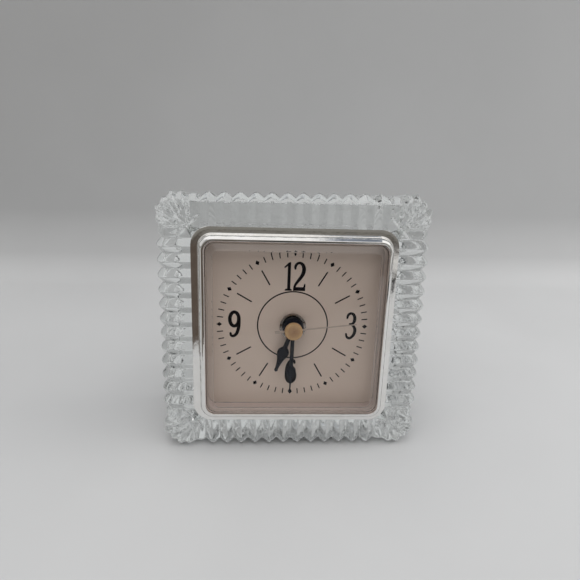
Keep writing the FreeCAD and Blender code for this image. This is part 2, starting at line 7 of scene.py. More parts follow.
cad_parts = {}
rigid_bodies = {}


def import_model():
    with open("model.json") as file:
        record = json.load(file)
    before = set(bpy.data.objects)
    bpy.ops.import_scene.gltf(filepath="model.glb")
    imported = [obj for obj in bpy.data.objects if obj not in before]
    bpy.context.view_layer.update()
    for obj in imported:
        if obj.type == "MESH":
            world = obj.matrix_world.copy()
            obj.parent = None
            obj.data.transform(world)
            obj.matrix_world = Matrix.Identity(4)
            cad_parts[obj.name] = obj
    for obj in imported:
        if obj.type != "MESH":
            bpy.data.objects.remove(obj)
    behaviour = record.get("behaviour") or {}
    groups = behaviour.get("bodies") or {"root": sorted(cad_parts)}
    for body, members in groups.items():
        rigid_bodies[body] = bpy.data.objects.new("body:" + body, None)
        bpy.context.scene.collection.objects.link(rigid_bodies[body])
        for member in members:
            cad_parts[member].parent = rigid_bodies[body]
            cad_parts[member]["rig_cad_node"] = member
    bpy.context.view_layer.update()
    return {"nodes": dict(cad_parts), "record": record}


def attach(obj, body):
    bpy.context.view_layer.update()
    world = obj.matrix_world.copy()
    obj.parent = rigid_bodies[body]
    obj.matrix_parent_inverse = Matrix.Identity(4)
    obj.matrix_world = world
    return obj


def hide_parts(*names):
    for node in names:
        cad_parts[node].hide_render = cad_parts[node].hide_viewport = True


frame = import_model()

NODE = frame["nodes"]

# ---------------------------------------------------------------- frames
# Pieces are drawn in the clock's own frame, in millimetres: x right, y up the dial,
# z out of the dial, dial face at z = 0. PLACE puts them where the CAD has them.
LEAN = radians(6.5)
TAPER = tan(LEAN)
SHIFT_Y, SHIFT_Z = -12.6051e-3, 50.137606e-3
PLACE_BLOCK = Matrix(((1, 0, 0, 0),
                      (0, sin(LEAN), -cos(LEAN), SHIFT_Y),
                      (0, cos(LEAN), sin(LEAN), SHIFT_Z),
                      (0, 0, 0, 1)))
INSERT_TURN = radians(-0.9)
PLACE = PLACE_BLOCK @ Matrix.Rotation(INSERT_TURN, 4, "Z")
R = 28.2                       # radius of the minute track
ROOT = "clock_body"


def smoothstep(t):
    t = min(1.0, max(0.0, t))
    return t * t * (3 - 2 * t)


def piece(name, verts, faces, place, body, replaces=(), angle=35.0):
    """A new mesh from points in millimetres of the clock's frame."""
    me = bpy.data.meshes.new(name)
    me.from_pydata([place @ Vector((x * 1e-3, y * 1e-3, z * 1e-3)) for x, y, z in verts], [], faces)
    me.validate()
    me.update()
    for p in me.polygons:
        p.use_smooth = True
    me.set_sharp_from_angle(angle=radians(angle))
    ob = bpy.data.objects.new(name, me)
    bpy.context.scene.collection.objects.link(ob)
    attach(ob, body)
    if replaces:
        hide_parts(*replaces)
    return ob


# ---------------------------------------------------------------- node helpers
class Mat:
    def __init__(self, name):
        self.m = bpy.data.materials.new(name)
        self.m.use_nodes = True
        self.nt = self.m.node_tree
        self.bsdf = self.nt.nodes["Principled BSDF"]
        self.coord = self.nt.nodes.new("ShaderNodeTexCoord").outputs["Object"]
        self.normal = None

    def node(self, kind, **props):
        n = self.nt.nodes.new("ShaderNode" + kind)
        for k, v in props.items():
            setattr(n, k, v)
        return n

    def link(self, a, b):
        self.nt.links.new(a, b)

    def set(self, **k):
        for name, v in k.items():
            s = self.bsdf.inputs[name.replace("_", " ")]
            if isinstance(v, bpy.types.NodeSocket):
                self.link(v, s)
            else:
                s.default_value = v
        return self

    def scaled(self, sx, sy=None, sz=None, turn=(0, 0, 0)):
        n = self.node("Mapping")
        self.link(self.coord, n.inputs["Vector"])
        n.inputs["Scale"].default_value = (sx, sx if sy is None else sy, sx if sz is None else sz)
        n.inputs["Rotation"].default_value = turn
        return n.outputs[0]

    def noise(self, scale, detail=3.0, rough=0.5, vec=None, distort=0.0):
        n = self.node("TexNoise")
        self.link(vec or self.coord, n.inputs["Vector"])
        n.inputs["Scale"].default_value = scale
        n.inputs["Detail"].default_value = detail
        n.inputs["Roughness"].default_value = rough
        n.inputs["Distortion"].default_value = distort
        return n.outputs["Fac"]

    def ramp(self, fac, stops):
        n = self.node("ValToRGB")
        el = n.color_ramp.elements
        while len(el) > 1:
            el.remove(el[-1])
        el[0].position, el[0].color = stops[0][0], (*stops[0][1], 1)
        for p, c in stops[1:]:
            e = el.new(p)
            e.color = (*c, 1)
        self.link(fac, n.inputs["Fac"])
        return n.outputs["Color"]

    def grey(self, fac, lo, hi, a=0.3, b=0.7):
        n = self.node("MapRange")
        n.inputs["From Min"].default_value, n.inputs["From Max"].default_value = a, b
        n.inputs["To Min"].default_value, n.inputs["To Max"].default_value = lo, hi
        self.link(fac, n.inputs["Value"])
        return n.outputs["Result"]

    def math(self, op, a, b=None):
        n = self.node("Math", operation=op)
        for s, v in ((n.inputs[0], a), (n.inputs[1], b)):
            if isinstance(v, bpy.types.NodeSocket):
                self.link(v, s)
            elif v is not None:
                s.default_value = v
        return n.outputs[0]

    def bump(self, height, strength, distance):
        n = self.node("Bump")
        n.inputs["Strength"].default_value = strength
        n.inputs["Distance"].default_value = distance
        self.link(height, n.inputs["Height"])
        if self.normal is not None:
            self.link(self.normal, n.inputs["Normal"])
        self.normal = n.outputs["Normal"]
        self.link(self.normal, self.bsdf.inputs["Normal"])
        return self

    def dial_frame(self):
        """Object coordinates turned into the dial's frame (metres)."""
        inv = PLACE.inverted()
        mp = self.node("Mapping", vector_type="POINT")
        self.link(self.coord, mp.inputs["Vector"])
        mp.inputs["Location"].default_value = inv.translation
        mp.inputs["Rotation"].default_value = inv.to_euler("XYZ")
        return mp.outputs[0]

    def rings(self, scale):
        """Turned rings about the dial's axis: a sine of the distance from it."""
        sep = self.node("SeparateXYZ")
        self.link(self.dial_frame(), sep.inputs[0])
        xx = self.math("MULTIPLY", sep.outputs[0], sep.outputs[0])
        yy = self.math("MULTIPLY", sep.outputs[1], sep.outputs[1])
        rr = self.math("SQRT", self.math("ADD", xx, yy))
        return self.math("SINE", self.math("MULTIPLY", rr, scale))


def paint(ob, mat):
    me = ob.data
    if "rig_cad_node" in ob:
        if not ob.material_slots:
            me.materials.append(None)
        for s in ob.material_slots:
            s.link = "OBJECT"
            s.material = mat.m
    else:
        me.materials.clear()
        me.materials.append(mat.m)


# ---------------------------------------------------------------- materials
def lets_light_through(mat, share, tint):
    """Part of the lamps' light passes the clear material straight."""
    out = mat.nt.nodes["Material Output"]
    clear = mat.node("BsdfTransparent")
    clear.inputs["Color"].default_value = (*tint, 1)
    mix = mat.node("MixShader")
    path = mat.node("LightPath")
    mat.link(mat.math("MULTIPLY", path.outputs["Is Shadow Ray"], share), mix.inputs[0])
    mat.link(mat.bsdf.outputs[0], mix.inputs[1])
    mat.link(clear.outputs[0], mix.inputs[2])
    mat.link(mix.outputs[0], out.inputs["Surface"])


def make_glass():
    g = Mat("pressed_glass")
    g.set(Base_Color=(0.965, 0.985, 0.978, 1), Transmission_Weight=1.0, IOR=1.52)
    g.set(Roughness=g.grey(g.noise(260, 3), 0.015, 0.065, 0.40, 0.75))
    g.bump(g.noise(230, 2.0, 0.45), 0.22, 0.0006)
    g.bump(g.noise(900, 2.0, 0.5), 0.10, 0.00012)
    lets_light_through(g, 0.42, (0.90, 0.91, 0.90))
    return g


def make_lens(name="clear_lens", mirror=0.30, clear=(0.99, 0.98, 0.978, 1)):
    g = Mat(name)
    g.set(Base_Color=clear, Transmission_Weight=1.0, IOR=1.47, Specular_Tint=(mirror, mirror, mirror, 1))
    g.set(Roughness=g.grey(g.noise(420, 4, 0.6), 0.0, 0.03, 0.55, 0.8))
    g.bump(g.noise(60, 2.0, 0.4), 0.10, 0.0003)
    lets_light_through(g, 1.0, (0.97, 0.965, 0.965))
    return g


def make_chrome():
    c = Mat("bezel_chrome")
    cloud = c.noise(190, 5, 0.65, distort=0.6)
    c.set(Base_Color=c.ramp(cloud, [(0.30, (0.80, 0.79, 0.77)), (0.55, (0.87, 0.86, 0.84)), (0.75, (0.90, 0.90, 0.91))]),
          Metallic=1.0)
    c.set(Roughness=c.grey(cloud, 0.035, 0.13, 0.35, 0.72))
    c.bump(c.noise(330, 3, 0.55, distort=0.4), 0.09, 0.00018)
    c.bump(c.noise(2600, 2, 0.5), 0.05, 0.00003)
    return c


def make_dial():
    d = Mat("dial_satin")
    grain = d.noise(5200, 3, 0.6, vec=d.scaled(1, 0.12, 1))
    soft = d.noise(26, 3, 0.5)
    base = d.node("MixRGB", blend_type="MULTIPLY")
    base.inputs["Fac"].default_value = 1.0
    d.link(d.ramp(soft, [(0.3, (0.728, 0.604, 0.518)), (0.7, (0.766, 0.640, 0.549))]), base.inputs["Color1"])
    d.link(d.ramp(grain, [(0.3, (0.955, 0.955, 0.955)), (0.7, (1.0, 1.0, 1.0))]), base.inputs["Color2"])
    d.set(Base_Color=base.outputs[0], Metallic=0.12)
    d.set(Roughness=d.grey(grain, 0.40, 0.56))
    d.bump(grain, 0.06, 0.00002)
    return d


def make_lining():
    d = Mat("lining_satin")
    grain = d.noise(3800, 3, 0.6, vec=d.scaled(1, 1, 0.15))
    sep = d.node("SeparateXYZ")
    d.link(d.dial_frame(), sep.inputs[0])
    base = d.node("MixRGB", blend_type="MULTIPLY")
    base.inputs["Fac"].default_value = 1.0
    d.link(d.ramp(grain, [(0.3, (0.76, 0.645, 0.595)), (0.7, (0.85, 0.73, 0.675))]), base.inputs["Color1"])
    # painted light and shade: along the dial's up-down axis the lining is darker on its left and right sides, lighter
    # at the bottom and lightest at the top, where it lies in shade
    d.link(d.ramp(d.grey(sep.outputs[1], 0.0, 1.0, -0.033, 0.033),
                  [(0.0, (0.90, 0.90, 0.90)), (0.16, (0.68, 0.675, 0.67)), (0.5, (0.66, 0.655, 0.65)), (1.0, (1.0, 1.0, 1.0))]),
           base.inputs["Color2"])
    d.set(Base_Color=base.outputs[0], Metallic=0.10)
    d.set(Roughness=d.grey(grain, 0.34, 0.50))
    d.bump(grain, 0.08, 0.00002)
    return d


def make_ink():
    k = Mat("dial_ink")
    n = k.noise(2400, 3, 0.6)
    k.set(Base_Color=k.ramp(n, [(0.35, (0.003, 0.002, 0.003)), (0.75, (0.009, 0.006, 0.008))]))
    k.set(Roughness=k.grey(n, 0.45, 0.65), Specular_IOR_Level=0.06)
    k.bump(n, 0.15, 0.00001)
    return k


def make_hand_black():
    h = Mat("hand_black")
    n = h.noise(900, 3, 0.5)
    # the black carries a faint blue tint, a painted reflection of the sky
    h.set(Base_Color=h.ramp(n, [(0.3, (0.003, 0.004, 0.007)), (0.8, (0.008, 0.010, 0.018))]), Specular_IOR_Level=0.11)
    h.set(Roughness=h.grey(n, 0.16, 0.28))
    h.bump(h.noise(1500, 2, 0.5), 0.08, 0.00002)
    return h


def make_champagne():
    c = Mat("champagne_hand")
    n = c.noise(4000, 3, 0.5, vec=c.scaled(1, 0.1, 1))
    c.set(Base_Color=c.ramp(n, [(0.3, (0.43, 0.35, 0.30)), (0.7, (0.52, 0.435, 0.375))]), Metallic=0.35)
    c.set(Roughness=c.grey(n, 0.34, 0.48))
    c.bump(n, 0.05, 0.00001)
    return c


def make_cap():
    c = Mat("cap_brass")
    rings = c.rings(2 * pi / 0.00022)
    n = c.noise(1800, 4, 0.6)
    sep = c.node("SeparateXYZ")
    c.link(c.dial_frame(), sep.inputs[0])
    xx = c.math("MULTIPLY", sep.outputs[0], sep.outputs[0])
    yy = c.math("MULTIPLY", sep.outputs[1], sep.outputs[1])
    far = c.grey(c.math("SQRT", c.math("ADD", xx, yy)), 0.0, 1.0, 0.0, 0.00335)
    # a tone that is darker at the middle of the cap and lighter towards its rim
    centre_to_rim_tone = c.node("MixRGB", blend_type="MULTIPLY")
    centre_to_rim_tone.inputs["Fac"].default_value = 1.0
    c.link(c.ramp(n, [(0.25, (0.69, 0.40, 0.20)), (0.55, (0.86, 0.56, 0.30)), (0.8, (0.93, 0.68, 0.41))]),
           centre_to_rim_tone.inputs["Color1"])
    c.link(c.ramp(far, [(0.0, (0.47, 0.44, 0.46)), (0.5, (0.54, 0.52, 0.53)), (0.85, (0.70, 0.72, 0.69)),
                        (1.0, (0.84, 0.86, 0.82))]), centre_to_rim_tone.inputs["Color2"])
    c.set(Base_Color=centre_to_rim_tone.outputs[0], Metallic=0.72)
    c.set(Roughness=c.grey(n, 0.32, 0.50))
    c.bump(rings, 0.22, 0.00002)
    c.bump(n, 0.12, 0.00003)
    return c


def make_nut():
    c = Mat("nut_plate")
    n = c.noise(1300, 4, 0.6)
    c.set(Base_Color=c.ramp(n, [(0.3, (0.27, 0.238, 0.215)), (0.75, (0.32, 0.285, 0.26))]), Metallic=1.0)
    c.set(Roughness=c.grey(n, 0.03, 0.09))
    c.bump(c.rings(2 * pi / 0.00018), 0.02, 0.00001)
    return c


def make_plastic(name="black_plastic", base=(0.018, 0.018, 0.019), hi=(0.032, 0.032, 0.034), grain=2600, strength=0.5):
    p = Mat(name)
    v = p.node("TexVoronoi", feature="F1")
    p.link(p.coord, v.inputs["Vector"])
    v.inputs["Scale"].default_value = grain
    n = p.noise(120, 4, 0.6)
    p.set(Base_Color=p.ramp(n, [(0.3, base), (0.75, hi)]))
    p.set(Roughness=p.grey(n, 0.42, 0.58))
    p.bump(v.outputs["Distance"], strength, 0.00004)
    return p


def make_rubber():
    p = Mat("band_rubber")
    n = p.noise(1400, 5, 0.7)
    p.set(Base_Color=p.ramp(n, [(0.3, (0.020, 0.020, 0.020)), (0.75, (0.040, 0.039, 0.038))]))
    p.set(Roughness=p.grey(n, 0.70, 0.88))
    p.bump(n, 0.35, 0.00006)
    return p


def make_metal(name, lo, hi, r0, r1, scale=1500, stretch=0.08, rings=0.0):
    c = Mat(name)
    n = c.noise(scale, 4, 0.55, vec=c.scaled(1, stretch, 1))
    c.set(Base_Color=c.ramp(n, [(0.3, lo), (0.7, hi)]), Metallic=1.0)
    c.set(Roughness=c.grey(n, r0, r1))
    c.bump(n, 0.12, 0.00002)
    return c


def make_solid(name, lo, hi, r0, r1, scale=900, bump=0.2):
    c = Mat(name)
    n = c.noise(scale, 4, 0.6)
    c.set(Base_Color=c.ramp(n, [(0.3, lo), (0.75, hi)]))
    c.set(Roughness=c.grey(n, r0, r1))
    c.bump(n, bump, 0.00003)
    return c


def make_winding():
    c = Mat("copper_winding")
    w = c.node("TexWave", wave_type="BANDS", bands_direction="X")
    c.link(c.coord, w.inputs["Vector"])
    w.inputs["Scale"].default_value = 3200
    c.set(Base_Color=c.ramp(w.outputs["Fac"], [(0.1, (0.30, 0.10, 0.03)), (0.8, (0.78, 0.36, 0.16))]), Metallic=0.8)
    c.set(Roughness=c.grey(w.outputs["Fac"], 0.45, 0.28, 0, 1))
    c.bump(w.outputs["Fac"], 0.6, 0.00005)
    return c


GLASS, LENS, CHROME, DIAL, INK = make_glass(), make_lens(), make_chrome(), make_dial(), make_ink()
HANDB, CHAMP, CAP, NUT = make_hand_black(), make_champagne(), make_cap(), make_nut()
LINING = make_lining()
LENS_EDGE = make_lens("clear_lens_edge", 1.0, (0.97, 0.95, 0.945, 1))
PLASTIC, RUBBER = make_plastic(), make_rubber()
GEARP = make_solid("gear_plastic", (0.74, 0.71, 0.62), (0.86, 0.83, 0.75), 0.35, 0.5)
BRASS = make_metal("pinion_brass", (0.62, 0.46, 0.20), (0.80, 0.62, 0.32), 0.22, 0.38)
MAGNET = make_metal("magnet", (0.20, 0.20, 0.21), (0.34, 0.34, 0.36), 0.45, 0.6)
STEEL = make_metal("steel", (0.50, 0.50, 0.51), (0.68, 0.68, 0.68), 0.25, 0.42)
FIBRE = make_solid("fibre", (0.36, 0.17, 0.09), (0.50, 0.27, 0.16), 0.7, 0.9, 1600, 0.5)
BOARD = make_solid("board", (0.08, 0.16, 0.05), (0.16, 0.27, 0.10), 0.3, 0.45)
SLEEVE = make_solid("battery_sleeve", (0.06, 0.06, 0.07), (0.11, 0.11, 0.12), 0.25, 0.4)
WIRE = make_winding()
SLOT_MAT = {"clear_glass": GLASS, "clear_lens": LENS, "chrome_plate": CHROME, "dial_paint": DIAL, "nut_plate": NUT,
            "fibre": FIBRE, "hand_paint": HANDB, "cap_brass": CAP, "black_plastic": PLASTIC, "band_rubber": RUBBER,
            "gear_plastic": GEARP, "pinion_brass": BRASS, "magnet": MAGNET, "steel": STEEL, "copper_wire": WIRE,
            "board": BOARD, "battery_sleeve": SLEEVE}
for sub in frame["record"]["subparts"]:
    ob = NODE[sub["node"]]
    for p in ob.data.polygons:
        p.use_smooth = True
    ob.data.set_sharp_from_angle(angle=radians(28))
    paint(ob, SLOT_MAT[sub["material_slot"]])

# ---------------------------------------------------------------- glass block
G_FRONT, G_BACK = 4.8, 4.8 - 38.0
CREST, RIB_H, PITCH, RIBS, RUN_IN, FAN_C = 50.8, 1.85, 5.70, 12, 2.6, 39.2
CREST_R, VALLEY_R, SIDE_Z, EDGE_A = 6.0, 3.8, 4.8 - 3.6, radians(58)
FAN_OUT = [11.6, 11.72, 12.5, 12.98, 12.9, 12.8, 12.9, 12.98, 12.5, 11.72, 11.6]
HOLE, HOLE_R = 36.0, 5.0
BACK_R, HOLE_EDGE = 0.9, 0.5


def soft(v, e):
    return (sqrt(v * v + e * e) - e) / (sqrt(1 + e * e) - e)


def rib_shape(t, e=0.26):
    """Height of a rib across its pitch: 0 in the valley, 1 on the crest."""
    return soft(1 - soft(abs(2 * t - 1), e), 0.04)


def wall_rib(x, e=0.26, flat=0.60):
    half = RIBS * PITCH / 2
    a = abs(x)
    if a <= half:
        return rib_shape(((x + half) / PITCH) % 1.0, e)
    if a < half + 1.8:
        return flat * smoothstep((a - half) / 1.8)
    if a < FAN_C - 1.8:
        return flat
    return flat * smoothstep((FAN_C - a) / 1.8)


def leaf(dx, dy, ang, length, width, depth):
    """A pointed V groove that starts at the fan's centre."""
    u = dx * cos(ang) + dy * sin(ang)
    v = -dx * sin(ang) + dy * cos(ang)
    if u <= 0 or u >= length:
        return 0.0
    w = width * sin(pi * (u / length) ** 0.8) + 1e-6
    return depth * max(0.0, 1 - abs(v) / w) * min(1.0, u / 0.6)


def profile(kind, rib, face, crest_out, lift, mix):
    """(out, z) from the front's inner line over the edge to the back. mix 1 is a corner's fan."""
    drop = RIB_H * (1 - face) * (1 - 0.42 * mix)
    out, zf = crest_out - RIB_H * (1 - rib) * (1 - 0.42 * mix), G_FRONT - drop
    r = VALLEY_R + (CREST_R - VALLEY_R) * rib
    pts = []
    n1 = 22
    o0, o1 = -2.45 + 2.70 * mix, out - r * (1 - cos(EDGE_A))
    zc = zf - r * sin(EDGE_A)
    for i in range(n1 + 1):
        o = o0 + (o1 - o0) * i / n1
        deep = (1 - mix) + mix * max(0.0, o / o1) ** 4.5
        pts.append((o, G_FRONT - drop * deep))
    n3 = 10
    for i in range(n3 + 1):
        a = EDGE_A * (1 - i / n3)
        pts.append((out - r + r * cos(a), zc + r * sin(a)))
    zb = G_BACK + BACK_R
    back = out - lift * (SIDE_Z - zb)
    n4 = 12
    for i in range(1, n4 + 1):
        t = i / n4
        pts.append((out + (back - out) * t, zc + (zb - zc) * t))
    for i in range(1, 5):
        a = pi / 2 * i / 4
        pts.append((back - BACK_R + BACK_R * cos(a), zb - BACK_R * sin(a)))
    return pts


def stations():
    """Round the block, clockwise from the top's left end: (wall or corner, place)."""
    half = RIBS * PITCH / 2
    xs = [-FAN_C + 0.25 * i for i in range(int((FAN_C - half) / 0.25))]
    ts = [0, .03, .07, .13, .2, .28, .36, .42, .46, .5, .54, .58, .64, .72, .8, .87, .93, .97]
    for i in range(RIBS):
        xs += [-half + (i + t) * PITCH for t in ts]
    xs.append(half)
    xs += [half + 0.25 * i for i in range(1, int((FAN_C - half) / 0.25) + 1)]
    st = [("w", x) for x in xs if x < FAN_C - 1e-6]
    fs = [0, .03, .07, .13, .2, .28, .36, .42, .46, .5, .54, .58, .64, .72, .8, .87, .93, .97]
    for i in range(5):
        st += [("c", (i + t) * 18.0) for t in fs]
    st.append(("c", 90.0))
    return st


def build_glass():
    verts, rings = [], []
    for side in range(4):
        ca, sa = cos(-pi / 2 * side), sin(-pi / 2 * side)
        for kind, s in stations():
            if kind == "w":
                rib, crest, lift = wall_rib(s, 0.34), CREST - FAN_C, TAPER
                face = wall_rib(s, 0.09, 0.16)
                mix = smoothstep((abs(s) - (FAN_C - 1.6)) / 1.6)
                pts = profile(kind, rib, face, crest, lift, mix)
                put = lambda o, z: (s, FAN_C + o, z)
                hole = lambda rr: (s * (HOLE - HOLE_R) / FAN_C, HOLE + rr)
            else:
                a = radians(s)
                k = s / 9.0
                j = min(9, int(k))
                f = smoothstep(k - j)
                crest = FAN_OUT[j] * (1 - f) + FAN_OUT[j + 1] * f
                rib = rib_shape((s / 18.0) % 1.0) if s < 90 else 0.0
                face = rib
                lift = TAPER * (cos(a) + sin(a))
                pts = profile(kind, rib, face, crest, lift, 1.0)
                put = lambda o, z: (FAN_C + o * sin(a), FAN_C + o * cos(a), z)
                hole = lambda rr: (HOLE - HOLE_R + (HOLE_R + rr) * sin(a), HOLE - HOLE_R + (HOLE_R + rr) * cos(a))
            ring = []

            def add(x, y, z):
                ring.append(len(verts))
                verts.append((x * ca - y * sa, x * sa + y * ca, z))

            sunk = RIB_H * (1 - face) * (1 - mix) if kind == "w" else 0.0

            def add_hole(rr, z):
                z -= sunk if z > 0 else 0.0
                x, y = hole(rr)
                x, y = x * ca - y * sa, x * sa + y * ca
                c, q = cos(INSERT_TURN), sin(INSERT_TURN)
                ring.append(len(verts))
                verts.append((x * c - y * q, x * q + y * c, z))

            e = HOLE_EDGE
            add_hole(0, G_FRONT - e)
            for i in (1, 2, 3):
                b = pi / 2 * i / 3
                add_hole(e - e * cos(b), G_FRONT - e + e * sin(b))
            for i, (o, z) in enumerate(pts):
                x, y, z = put(o, z)
                if i < 24 and z > G_FRONT - RIB_H - 0.01:
                    # star cuts that run inward from the corner's centre
                    for sx in (-1, 1):
                        dx, dy = (x - sx * FAN_C) * -sx, y - FAN_C
                        if kind == "w" and hypot(dx, dy) < 9:
                            z -= leaf(dx, dy, radians(38), 5.6, 0.95, 0.75)
                    if kind == "c":
                        for k, dd in ((0.5, 0.62), (2.0, 0.75), (3.5, 0.62)):
                            z -= leaf(x - FAN_C, y - FAN_C, radians(9 + 18 * k), 7.4, 1.15, dd)
                add(x, y, z)
            zb = G_BACK + BACK_R
            add_hole(1.2, G_BACK)
            e = 0.12
            for i in (0, 1, 2, 3):
                b = pi / 2 * i / 3
                add_hole(e - e * sin(b), G_BACK + e - e * cos(b))
            add_hole(0, G_BACK + 12)
            add_hole(0, G_BACK + 25)
            rings.append(ring)
    # pressed-glass unevenness: the outer skin is drawn in by a few hundredths
    for ring in rings:
        for i in ring[4:-7]:
            x, y, z = verts[i]
            p = Vector((x, y, z))
            d = 0.030 * (1 + noise.noise(p * 0.33)) + 0.014 * (1 + noise.noise(p * 0.9 + Vector((7, 3, 1))))
            if z > G_FRONT - 5.0 and max(abs(x), abs(y)) > CREST - 4.2:
                d += 0.040 * (1 + noise.noise(p * 1.1 + Vector((2, 9, 4))))
            rad = max(abs(x), abs(y))
            if z > G_FRONT - RIB_H - 0.6 and rad < CREST - 3.4:
                verts[i] = (x, y, z - d)
            elif z > G_BACK + 0.5:
                k = 1 - d / rad
                verts[i] = (x * k, y * k, z)
            else:
                verts[i] = (x, y, z + d * 0.5)
    faces = []
    n, m = len(rings), len(rings[0])
    for i in range(n):
        a, b = rings[i], rings[(i + 1) % n]
        for j in range(m):
            k = (j + 1) % m
            faces.append((a[j], b[j], b[k], a[k]))
    # drop the seams where two stations meet at one place
    out = []
    inv = PLACE_BLOCK.inverted()
    for x, y, z in verts:
        p = PLACE_BLOCK @ Vector((x * 1e-3, y * 1e-3, z * 1e-3))
        if p.z < 2e-6:
            p.z = 2e-6
            q = inv @ p
            x, y, z = q.x * 1e3, q.y * 1e3, q.z * 1e3
        out.append((x, y, z))
    ob = piece("glass_body", out, faces, PLACE_BLOCK, ROOT, ("glass_block",), 27)
    import bmesh
    bm = bmesh.new()
    bm.from_mesh(ob.data)
    bmesh.ops.remove_doubles(bm, verts=bm.verts, dist=2e-7)
    bmesh.ops.recalc_face_normals(bm, faces=bm.faces)
    bm.to_mesh(ob.data)
    bm.free()
    paint(ob, GLASS)
    return ob


glass = build_glass()


# ---------------------------------------------------------------- rounded squares
def rsq_loop(half, r, z, n=12, m=6, half_y=None, c=(0, 0)):
    """Points round a rounded square, counter-clockwise."""
    hx, hy = half, half if half_y is None else half_y
    pts = []
    corners = [(hx - r, hy - r, 0), (-hx + r, hy - r, 90), (-hx + r, -hy + r, 180), (hx - r, -hy + r, 270)]
    for k, (cx, cy, a0) in enumerate(corners):
        for i in range(n + 1):
            a = radians(a0 + 90.0 * i / n)
            pts.append((c[0] + cx + r * cos(a), c[1] + cy + r * sin(a), z))
        nx, ny, na = corners[(k + 1) % 4]
        x0, y0, _ = pts[-1]
        a = radians(na)
        x1, y1 = c[0] + nx + r * cos(a), c[1] + ny + r * sin(a)
        for i in range(1, m):
            t = i / m
            pts.append((x0 + (x1 - x0) * t, y0 + (y1 - y0) * t, z))
    return pts


def loft(loops, closed=False, cap0=False, cap1=False):
    verts, faces = [], []
    n = len(loops[0])
    for lp in loops:
        verts += lp
    L = len(loops)
    for i in range(L if closed else L - 1):
        a, b = i * n, ((i + 1) % L) * n
        for j in range(n):
            k = (j + 1) % n
            faces.append((a + j, a + k, b + k, b + j))
    if cap0:
        faces.append(tuple(reversed(range(n))))
    if cap1:
        faces.append(tuple(range((L - 1) * n, L * n)))
    return verts, faces


def merge(*parts):
    verts, faces = [], []
    for v_, f_ in parts:
        k = len(verts)
        verts += v_
        faces += [tuple(i + k for i in q) for q in f_]
    return verts, faces


def fix_normals(ob):
    import bmesh
    bm = bmesh.new()
    bm.from_mesh(ob.data)
    bmesh.ops.recalc_face_normals(bm, faces=bm.faces)
    bm.to_mesh(ob.data)
    bm.free()


def arc(cx, cz, r, a0, a1, n, ry=None):
    """Points (half, z) of an arc in the section plane, angles in degrees."""
    ry = r if ry is None else ry
    return [(cx + r * cos(radians(a0 + (a1 - a0) * i / n)), cz + ry * sin(radians(a0 + (a1 - a0) * i / n)))
            for i in range(n + 1)]


# ---------------------------------------------------------------- bezel
PLACE_BEZEL = PLACE @ Matrix.Rotation(radians(0.42), 4, "Z")


def bezel_radius(half):
    return 3.6 + max(0.0, half - 33.7) * (3.3 / 4.55)


def seat(half):
    """The lens sits a little off the middle of the bezel, as it does in the photo."""
    t = min(1.0, max(0.0, (38.25 - half) / 4.6))
    return -0.06 + 0.46 * t, 0.29 - 0.18 * t


def square(half, r, z, n, m, wide=0.0, tall=0.0):
    return rsq_loop(half + wide, r, z, n, m, half + tall, seat(half))


bez = [(37.90, 4.83), (38.22, 5.24), (38.25, 5.30), (38.25, 5.35), (38.22, 5.385)]
bez += [(38.10, 5.395), (37.2, 5.40), (36.14, 5.40), (36.06, 5.402), (35.97, 5.43), (35.90, 5.52), (35.87, 5.65)]
bez += arc(34.25, 5.8, 1.62, 6, 91, 18, 3.2)
bez += arc(33.86, 8.84, 0.15, 80, 180, 4)
bez += [(33.70, 6.2), (33.70, 4.85), (34.4, 4.8), (34.4, -0.1), (35.7, -0.1), (35.7, 4.8)]
loops = [square(h, bezel_radius(h) if h > 33.69 else 3.4, z, 16, 10, -0.35, 0.12) for h, z in bez]
v, f = loft(loops, closed=True)
bezel = piece("bezel_trim", v, f, PLACE_BEZEL, ROOT, ("bezel",), 42)
fix_normals(bezel)
paint(bezel, CHROME)

# ---------------------------------------------------------------- lens
sec = [(33.25, 0.0), (33.25, 8.05)]
sec += arc(32.90, 8.10, 0.35, 0, 68, 6)
sec += [(32.75, 8.55), (32.0, 8.84), (31.0, 9.21), (30.60, 9.36)]
sec += [(30.54, 9.44), (30.44, 9.56), (30.34, 9.62), (30.22, 9.61), (30.14, 9.57), (30.04, 9.60), (29.8, 9.64), (29.0, 9.69)]
lens_out = [square(h, max(1.2, 3.9 - (33.25 - h) * 0.62), z, 12, 8, 0.0, 0.25) for h, z in sec]
inner = [(28.5, 8.38), (30.1, 8.34), (30.4, 8.26), (31.5, 7.86), (32.6, 7.46), (32.82, 7.30), (32.85, 7.1), (32.85, 0.0)]
lens_in = [square(h, max(1.2, 3.6 - (32.85 - h) * 0.6), z, 12, 8, 0.0, 0.25) for h, z in inner]
top_v, top_f = loft(lens_out + [square(28.5, 1.0, 9.71, 12, 8, 0.0, 0.25)])
n0 = len(top_v)
nl = len(lens_out[0])
in_v, in_f = loft(lens_in)
verts = top_v + in_v
faces = [tuple(i for i in q) for q in top_f] + [tuple(i + n0 for i in q) for q in in_f]
last_top = range(n0 - nl, n0)
faces.append(tuple(last_top))
faces.append(tuple(reversed(range(n0, n0 + nl))))
lb = n0 + len(in_v) - nl
for j in range(nl):
    k = (j + 1) % nl
    faces.append((lb + j, lb + k, k, j))
lens = piece("lens_clear", verts, faces, PLACE_BEZEL, ROOT, ("lens",), 12)
fix_normals(lens)
paint(lens, LENS)
lens.data.materials.append(LENS_EDGE.m)
turn_back = PLACE_BEZEL.inverted()
for q in lens.data.polygons:
    c = turn_back @ q.center
    ox, oy = seat(31.0)
    if max(abs(c.x * 1e3 - ox), abs(c.y * 1e3 - oy)) > 29.95:
        q.material_index = 1

